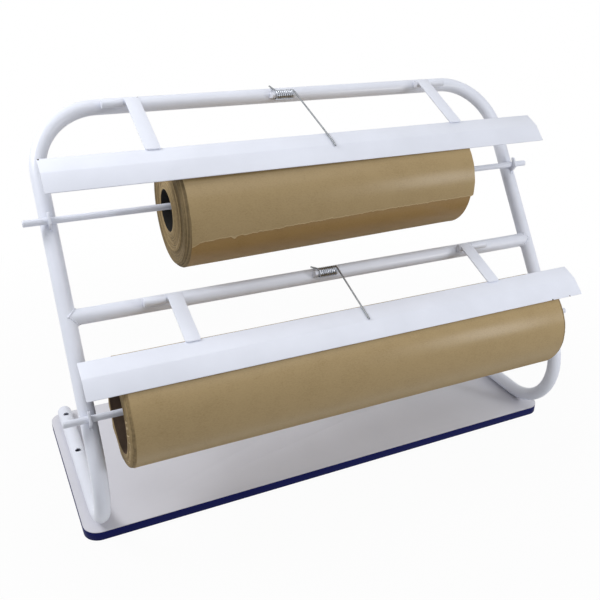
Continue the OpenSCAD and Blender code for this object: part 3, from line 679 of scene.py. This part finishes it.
class PAPERSTAND_OT_springs(Operator):
    """Wind the two torsion springs, with one leg over the rail and one on the bar"""
    bl_idname = "paper_stand.springs"
    bl_label = "Springs"

    def execute(self, context):
        s = context.scene.paper_stand_sizes
        wire_r, coil_r = s.wire_d / 2, s.coil_d / 2
        for tier in TIERS:
            t = TIERS[tier]
            c = rail_axis(tier) + POST_OFF * toward(t.post_dir)
            lift = BAR_V + wire_r + PART_GAP
            over = arm_point(tier, t.arm_len, lift)
            rest = arm_point(tier, t.arm_len + TOP_FLANGE + t.leg_past, lift)
            lead = over - c
            out_a = math.atan2(lead.z, lead.y) - math.acos(coil_r / math.hypot(lead.y, lead.z))
            back_a = math.acos((coil_r - TUBE_R - wire_r - PART_GAP) / POST_OFF) - math.radians(t.post_dir)
            turn = 2 * math.pi * s.coil_turns + (out_a - back_a + math.pi) % (2 * math.pi) - math.pi
            x0, x1 = s.coil_x - s.coil_len / 2, s.coil_x + s.coil_len / 2

            def on_coil(x, a):
                return Vector((x, c.y + coil_r * math.cos(a), c.z + coil_r * math.sin(a)))

            bm = bmesh.new()
            ring = bmesh.ops.create_circle(bm, cap_ends=False, radius=wire_r, segments=WIRE_SIDES)["verts"]
            way = Vector((0, -math.sin(back_a), math.cos(back_a)))
            bmesh.ops.rotate(bm, verts=ring, cent=(0, 0, 0),
                             matrix=Vector((0, 0, 1)).rotation_difference(way).to_matrix())
            bmesh.ops.translate(bm, verts=ring, vec=on_coil(x0, back_a))
            first = list({e for v in ring for e in v.link_edges})
            steps = s.coil_turns * TURN_STEPS
            spun = bmesh.ops.spin(bm, geom=ring + first, cent=(0, c.y, c.z), axis=(1, 0, 0), angle=turn, steps=steps,
                                  dvec=Vector((s.coil_len / steps, 0, 0)), use_duplicate=False, use_merge=False)
            last = [g for g in spun["geom_last"] if isinstance(g, bmesh.types.BMEdge)]
            out = on_coil(x1, out_a)
            run = (over - Vector((0, out.y, out.z))).normalized()
            knee = over + (TOP_FLANGE - s.leg_foot) * run
            knee.x = rest.x = x1 + t.leg_drift
            tip = on_coil(x0, back_a) + s.rail_leg * Vector((0, math.sin(back_a), -math.cos(back_a)))
            bend = [out.lerp(knee, i / LEG_STEPS) for i in range(BEND_STEPS)]
            for edges, stops in ((last, bend + [knee, rest]), (first, [on_coil(x0, back_a), tip])):
                for a, b in zip(stops, stops[1:]):
                    grown = bmesh.ops.extrude_edge_only(bm, edges=edges)["geom"]
                    edges = [g for g in grown if isinstance(g, bmesh.types.BMEdge) and len(g.link_faces) == 1]
                    bmesh.ops.translate(bm, verts=list({v for e in edges for v in e.verts}), vec=b - a)
                bmesh.ops.contextual_create(bm, geom=edges)
            bmesh.ops.remove_doubles(bm, verts=bm.verts, dist=0.01 * MM)
            for f in bm.faces:
                away = f.calc_center_median() - c
                f.material_index = 1 if math.hypot(away.y, away.z) > coil_r + wire_r else 0
            spring = make_piece(tier + "_spring_wire", bm, ("zinc", "dull_zinc"), None)
            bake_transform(spring)
            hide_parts(tier + "_spring")
        return {"FINISHED"}


class PAPERSTAND_OT_welds(Operator):
    """Lay the weld beads of the middle rail, the hinges, the hooks and the spring posts"""
    bl_idname = "paper_stand.welds"
    bl_label = "Weld beads"

    def execute(self, context):
        rng = random.Random(7)
        bm = bmesh.new()

        def drop(at, size):
            size *= rng.uniform(1 - BEAD_SPREAD, 1 + BEAD_SPREAD)
            made = bmesh.ops.create_icosphere(bm, subdivisions=2, radius=size)["verts"]
            stray = Vector([rng.uniform(-BEAD_STRAY, BEAD_STRAY) * MM for _ in range(3)])
            bmesh.ops.translate(bm, verts=made, vec=at + stray)

        mid = rail_axis("lower")
        for side in (-1, 1):
            for i in range(RAIL_BEADS):
                a = math.radians(360 / RAIL_BEADS * i)
                ring = TUBE_R * (math.cos(a) * LEG_UP + math.sin(a) * LEG_OUT)
                at = Vector((side * (LEG_X - TUBE_R * abs(math.cos(a)) - BEAD_SINK), mid.y, mid.z))
                drop(at + ring * RAIL_RING, RAIL_BEAD_R)
            for tier in TIERS:
                lo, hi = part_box(f"{tier}_{'left' if side < 0 else 'right'}_hinge")
                near, far = HINGE_WELD
                outer = (lo.x + near, lo.x + far) if side < 0 else (hi.x - far, hi.x - near)
                out = toward(TIERS[tier].hinge_dir)
                across = out.cross(Vector((1, 0, 0)))
                for edge in (-1, 1):
                    for i in range(HINGE_BEADS):
                        x = outer[0] + (outer[1] - outer[0]) * i / (HINGE_BEADS - 1)
                        spot = rail_axis(tier) + out * (TUBE_R - BEAD_SINK) + across * edge * HINGE_WELD_SIDE * MM
                        drop(Vector((x, spot.y, spot.z)), HINGE_BEAD_R)
                rod = AXIS[tier + "_rod"]
                for face in (-1, 1):
                    for i in range(HOOK_BEADS):
                        spot = rod - LEG_OUT * HOOK_WELD_BACK - LEG_UP * (HOOK_WELD_DOWN + i) * MM
                        drop(Vector((side * LEG_X + face * HOOK_WELD_SIDE, spot.y, spot.z)), HOOK_BEAD_R)
        for tier in TIERS:
            post = toward(TIERS[tier].post_dir)
            across = post.cross(Vector((1, 0, 0)))
            for x in POST_WELD_X:
                for edge in (-1, 1):
                    spot = rail_axis(tier) + post * (TUBE_R + POST_BEAD_OUT) + edge * POST_WELD_SIDE * MM * across
                    for i in (-1, 0, 1):
                        drop(Vector(((x + POST_BEAD_STEP * i) * MM, spot.y, spot.z)), POST_BEAD_R)
        make_piece("weld_beads", bm, ("paint",), "frame", (), 60)
        return {"FINISHED"}


def spin_profile(bm, profile, steps):
    """Turns a closed profile of (x, radius) points round the X axis."""
    verts = [bm.verts.new((x, 0, r)) for x, r in profile]
    edges = [bm.edges.new((a, b)) for a, b in zip(verts, verts[1:] + verts[:1])]
    bmesh.ops.spin(bm, geom=verts + edges, cent=(0, 0, 0), axis=(1, 0, 0), angle=2 * math.pi, steps=steps,
                   use_merge=True, use_duplicate=False)
    bmesh.ops.remove_doubles(bm, verts=bm.verts, dist=MERGE)


def end_face(rng, r0, r1, layer, depth, grooves=(), least=0.1 * MM, rough=0.3 * MM):
    """(depth, radius) points of a roll's end from its core to its rim: groups of turns with notches between them."""
    points, drift = [], 0.0
    n = max(4, round((r1 - r0) / layer))
    for i in range(n):
        a, b = r0 + (r1 - r0) * i / n, r0 + (r1 - r0) * (i + 1) / n
        drift = DRIFT_KEPT * drift + rng.uniform(-DRIFT_STEP, DRIFT_STEP) * MM
        notch = rng.uniform(*NOTCH) * MM + (rough if rng.random() < ROUGH_SHARE else 0.0)
        if any(a < g <= b for g in grooves):
            notch = GROOVE_DEPTH
        points += [(depth(a) + drift, a), (depth(b) + drift, b - NOTCH_FROM * (b - a))]
        if i < n - 1:
            points.append((depth(b) + drift + notch, b - NOTCH_AT * (b - a)))
    return [(max(least, d), r) for d, r in points] + [(max(least, depth(r1)), r1)]


def roll_body(tier, radius, left, right):
    """The wound body of a paper roll about the X axis, from the (depth, radius) points of its two ends."""
    half = TIERS[tier].roll_half
    left = [(d - half, r) for d, r in left]
    right = [(half - d, r) for d, r in right]
    run = right[-1][0] - left[-1][0]
    middle = [(left[-1][0] + run * i / ROLL_CELLS, radius) for i in range(1, ROLL_CELLS)]
    bm = bmesh.new()
    spin_profile(bm, left + middle + right[::-1], ROLL_STEPS)
    for v in bm.verts:
        spoke = Vector((0, v.co.y, v.co.z))
        if spoke.length > radius - 0.05 * MM and left[-1][0] + MM < v.co.x < right[-1][0] - MM:
            dent = noise.noise(Vector((v.co.x * DENT_ALONG, v.co.y * DENT_ROUND, v.co.z * DENT_ROUND)))
            v.co -= spoke.normalized() * PAPER_DENT * MM * (1 + dent)
    bm.normal_update()
    for f in bm.faces:
        spoke = f.calc_center_median()
        f.material_index = 0 if math.hypot(spoke.y, spoke.z) > radius - 0.6 * MM and abs(f.normal.x) < 0.7 else 1
    return bm


def place_roll(name, tier, bm, finishes, replaces=()):
    """Puts a piece that was made about the X axis in its roll's place."""
    bm.transform(ROLL[tier])
    return make_piece(name, bm, finishes, tier + "_roll", replaces, 40)


def core_tube(tier, finish, proud=0.0):
    """The card tube of a roll: its ends as brown as the paper's, its inside dark. Its left end may stand proud."""
    t = TIERS[tier]
    outer, half = t.bore_r - 0.05 * MM, t.roll_half
    left = -half - proud
    bm = bmesh.new()
    rim = 0.6 * MM
    spin_profile(bm, [(left, t.core_r + rim), (left, outer), (half, outer), (half, t.core_r + rim),
                      (half - rim, t.core_r), (left + rim, t.core_r)], CORE_STEPS)
    for f in bm.faces:
        spoke = f.calc_center_median()
        f.material_index = 1 if math.hypot(spoke.y, spoke.z) < t.core_r + 0.1 * MM else 0
    place_roll(tier + "_core_tube", tier, bm, (tier + "_ends", finish), (tier + "_core",))


def shreds(name, tier, spots):
    """Small torn bits of paper on a roll's left end, as (depth, radius, direction, length, width) in mm and degrees."""
    bm = bmesh.new()
    torn = bm.verts.layers.float.new("torn")
    for depth, radius, angle, length, width in spots:
        made = bmesh.ops.create_grid(bm, x_segments=1, y_segments=4, size=0.5)["verts"]
        for v in made:
            run = v.co.y + 0.5
            side = v.co.x * width * (1 - SHRED_TAPER * run) * MM
            lean = math.radians(SHRED_LEAN + SHRED_CURL * run)
            v.co = Vector((-length * run * math.cos(lean) * MM, side, length * run * math.sin(lean) * MM))
            v[torn] = 1.0
        out = toward(angle)
        turn = Matrix(((1, 0, 0), out.cross(Vector((1, 0, 0))), out)).transposed()
        bmesh.ops.rotate(bm, verts=made, cent=(0, 0, 0), matrix=turn)
        end = Vector((depth * MM - TIERS[tier].roll_half, 0, 0))
        bmesh.ops.translate(bm, verts=made, vec=end + radius * MM * out)
    bmesh.ops.recalc_face_normals(bm, faces=bm.faces)
    bmesh.ops.solidify(bm, geom=list(bm.faces), thickness=SHRED_T)
    place_roll(name, tier, bm, ("kraft",))


class PAPERSTAND_OT_lower_roll(Operator):
    """Wind the lower paper roll, with its worn rims and its core"""
    bl_idname = "paper_stand.lower_roll"
    bl_label = "Lower roll"

    def execute(self, context):
        s = context.scene.paper_stand_sizes
        rng = random.Random(11)
        radius, bore = s.lower_roll_r, TIERS["lower"].bore_r

        def worn(r):
            over = max(0.0, r - (radius - s.lip_r))
            return s.lip_r - math.sqrt(s.lip_r ** 2 - min(over, s.lip_r) ** 2)

        left, right = (end_face(rng, bore, radius, s.layer_t, worn) for _ in range(2))
        bm = roll_body("lower", radius, left, right)
        half = TIERS["lower"].roll_half
        coarse, fine = CRUMPLE_WAVES
        for v in bm.verts:
            near = 1 - (half - abs(v.co.x)) / (s.lip_r + CRUMPLE_RUN)
            if near > 0 and math.hypot(v.co.y, v.co.z) > bore + 0.5 * MM:
                dent = 1 + noise.noise(v.co * coarse) + 0.5 * noise.noise(v.co * fine)
                v.co.x -= math.copysign(s.crumple * near * max(0.0, dent), v.co.x)
        place_roll("lower_paper_roll", "lower", bm, ("kraft", "lower_ends"), ("lower_paper",))
        core_tube("lower", "card")
        shreds("lower_paper_shreds", "lower", SHREDS)
        return {"FINISHED"}


class PAPERSTAND_OT_upper_roll(Operator):
    """Wind the upper paper roll, with its slipped turns, its core and its torn outer sheet"""
    bl_idname = "paper_stand.upper_roll"
    bl_label = "Upper roll"

    def execute(self, context):
        s = context.scene.paper_stand_sizes
        rng = random.Random(5)
        t = TIERS["upper"]
        radius = s.upper_roll_r - s.turn_step

        def slipped(r):
            return between(SLIP_LINE, r / MM) * MM

        def inset(r):
            return INSET + s.overhang * max(0.0, 1 - (radius - r) / INSET_RUN)

        left = end_face(rng, t.bore_r, radius, s.layer_t, slipped, GROOVES, -CORE_PROUD, SLIP_ROUGH)
        right = end_face(rng, t.bore_r, radius, s.layer_t, inset)
        bm = roll_body("upper", radius, left, right)
        under = bm.verts.layers.float.new("under")
        for v in bm.verts:
            angle = math.atan2(v.co.z, -v.co.y)
            spoke = Vector((0, v.co.y, v.co.z))
            loose = min(1.0, max(0.0, (spoke.length - LOOSE_FROM) / (LOOSE_TO - LOOSE_FROM)))
            v.co += spoke.normalized() * loose * sag(v.co.x, angle)
            low = torn_direction(v.co.x) - angle
            # Painted shade below the torn end, partly the duller side of the paper: under is 1 there and fades further
            # round
            v[under] = max(0.0, 1 - max(0.0, low - UNDER_FULL) / UNDER_FADE) if low > 0 else 0.0
        place_roll("upper_paper_roll", "upper", bm, ("kraft", "upper_ends"), ("upper_paper",))
        # Its inside is painted near black as the shade deep in the hole
        core_tube("upper", "painted_shade_core", CORE_PROUD)

        bm = bmesh.new()
        torn = bm.verts.layers.float.new("torn")
        bmesh.ops.create_grid(bm, x_segments=SHEET_CELLS[0], y_segments=SHEET_CELLS[1], size=0.5)
        x_left, x_right = left[-1][0] - t.roll_half - 0.1 * MM, t.roll_half + 1.0 * MM
        for v in bm.verts:
            p, q = v.co.x + 0.5, v.co.y + 0.5
            back = q ** SHEET_CROWD
            x = x_left + (x_right - x_left) * p
            fray = sum(deep * noise.noise(Vector((x * waves, place, 0))) for deep, waves, place in FRAYS)
            nick = NICK_DEPTH * math.exp(-((x / MM - NICK_X) / NICK_WIDTH) ** 2)
            ragged = (fray - nick) * MM / s.upper_roll_r * max(0.0, 1 - back * FRAY_FADE)
            angle = torn_direction(x) + ragged + SHEET_REACH * back
            lift = EDGE_LIFT * math.exp(-back * LIFT_FADE)
            r = s.upper_roll_r + lift - (s.turn_step + TUCK) * back
            r -= SHEET_WAVE * (1 + noise.noise(Vector((x * 30, angle * 2.0, 4.0))))
            r += sag(x, angle)
            if p < RIM_SHARE or p > 1 - RIM_SHARE:
                x += RIM_WAVE * noise.noise(Vector((angle * 6, p, 0)))
            v.co = Vector((x, -r * math.cos(angle), r * math.sin(angle)))
            pale = (PALE_EDGE[0] + PALE_EDGE[1] * abs(fray) + PALE_EDGE[2] * nick) * MM
            v[torn] = max(0.0, 1 - SHEET_REACH * back * s.upper_roll_r / pale)
        bmesh.ops.solidify(bm, geom=list(bm.faces), thickness=s.sheet_t)
        place_roll("upper_outer_sheet", "upper", bm, ("kraft",))
        return {"FINISHED"}


class PAPERSTAND_OT_stage(Operator):
    """Set up the white sweep, the soft light and the camera"""
    bl_idname = "paper_stand.stage"
    bl_label = "Stage"

    def execute(self, context):
        scene = context.scene
        p = scene.paper_stand_stage
        for name in ("Cube", "Light", "Camera"):
            if name in bpy.data.objects:
                bpy.data.objects.remove(bpy.data.objects[name])
        bm = bmesh.new()
        bmesh.ops.create_grid(bm, x_segments=1, y_segments=1, size=6)
        FINISH["floor"] = floor_finish()
        floor = make_piece("floor", bm, ("floor",), None)

        world = bpy.data.worlds.new("studio")
        scene.world = world
        world.use_nodes = True
        t = world.node_tree
        t.nodes.clear()
        strength = add(t, "ShaderNodeMapRange", {"Value": (seen_directly(t), "Value")}, i3=p.sky, i4=1.0)
        sky = add(t, "ShaderNodeBackground", {"Strength": (strength, "Result")}, Color=(1, 1, 1, 1))
        add(t, "ShaderNodeOutputWorld", {"Surface": (sky, "Background")})

        for name, at, aim, size, power in (
                ("softbox_key", (0.35, -0.95, 1.6), (0, -0.05, 0.2), (0.8, 0.8), p.key_power),
                ("softbox_left", (-1.05, 0.15, 1.15), (-0.33, 0, 0.02), (0.5, 0.5), p.left_power),
                ("softbox_top", (-0.1, 0.05, 1.75), (0, -0.05, 0.2), (0.5, 0.5), p.top_power),
                ("softbox_side", (0.71, -0.9, 0.51), (0.1, -0.1, 0.25), (0.14, 0.34), p.side_power)):
            data = bpy.data.lights.new(name, "AREA")
            data.shape = "RECTANGLE"
            data.size, data.size_y = size
            data.energy = power
            lamp = bpy.data.objects.new(name, data)
            lamp.location = at
            lamp.rotation_euler = (Vector(aim) - Vector(at)).to_track_quat("-Z", "Y").to_euler()
            lamp.visible_camera = False
            scene.collection.objects.link(lamp)

        fw = Vector((math.sin(p.yaw) * math.cos(p.pitch), math.cos(p.yaw) * math.cos(p.pitch), -math.sin(p.pitch)))
        level = Vector((math.cos(p.yaw), -math.sin(p.yaw), 0))
        up = level.cross(fw)
        right = math.cos(p.roll) * level + math.sin(p.roll) * up
        up = -math.sin(p.roll) * level + math.cos(p.roll) * up
        data = bpy.data.cameras.new("camera")
        data.lens = p.lens
        data.sensor_width = 36
        data.shift_x = p.shift_x
        camera = bpy.data.objects.new("camera", data)
        camera.matrix_world = Matrix.Translation(p.camera_at) @ Matrix((right, up, -fw)).transposed().to_4x4()
        scene.collection.objects.link(camera)
        scene.camera = camera
        scene.view_settings.view_transform = "Standard"
        return {"FINISHED"}


STEPS = (PAPERSTAND_OT_finishes, PAPERSTAND_OT_soft_edges, PAPERSTAND_OT_springs, PAPERSTAND_OT_welds,
         PAPERSTAND_OT_chips, PAPERSTAND_OT_lower_roll, PAPERSTAND_OT_upper_roll, PAPERSTAND_OT_stage)


class PAPERSTAND_PT_panel(Panel):
    """Lists the steps that dress the stand"""
    bl_idname = "PAPERSTAND_PT_panel"
    bl_label = "Paper stand"
    bl_space_type = "VIEW_3D"
    bl_region_type = "UI"
    bl_category = "Paper stand"

    def draw(self, context):
        for step in STEPS:
            self.layout.operator(step.bl_idname)


GROUPS = (PaperStandSizes, PaperStandColours, PaperStandStage)
CLASSES = GROUPS + STEPS + (PAPERSTAND_PT_panel,)


def register():
    for c in CLASSES:
        bpy.utils.register_class(c)
    bpy.types.Scene.paper_stand_sizes = PointerProperty(type=PaperStandSizes)
    bpy.types.Scene.paper_stand_colours = PointerProperty(type=PaperStandColours)
    bpy.types.Scene.paper_stand_stage = PointerProperty(type=PaperStandStage)


def unregister():
    del bpy.types.Scene.paper_stand_stage
    del bpy.types.Scene.paper_stand_colours
    del bpy.types.Scene.paper_stand_sizes
    for c in reversed(CLASSES):
        bpy.utils.unregister_class(c)


def main():
    register()
    for step in STEPS:
        group, name = step.bl_idname.split(".")
        getattr(getattr(bpy.ops, group), name)()


if __name__ == "__main__":
    main()
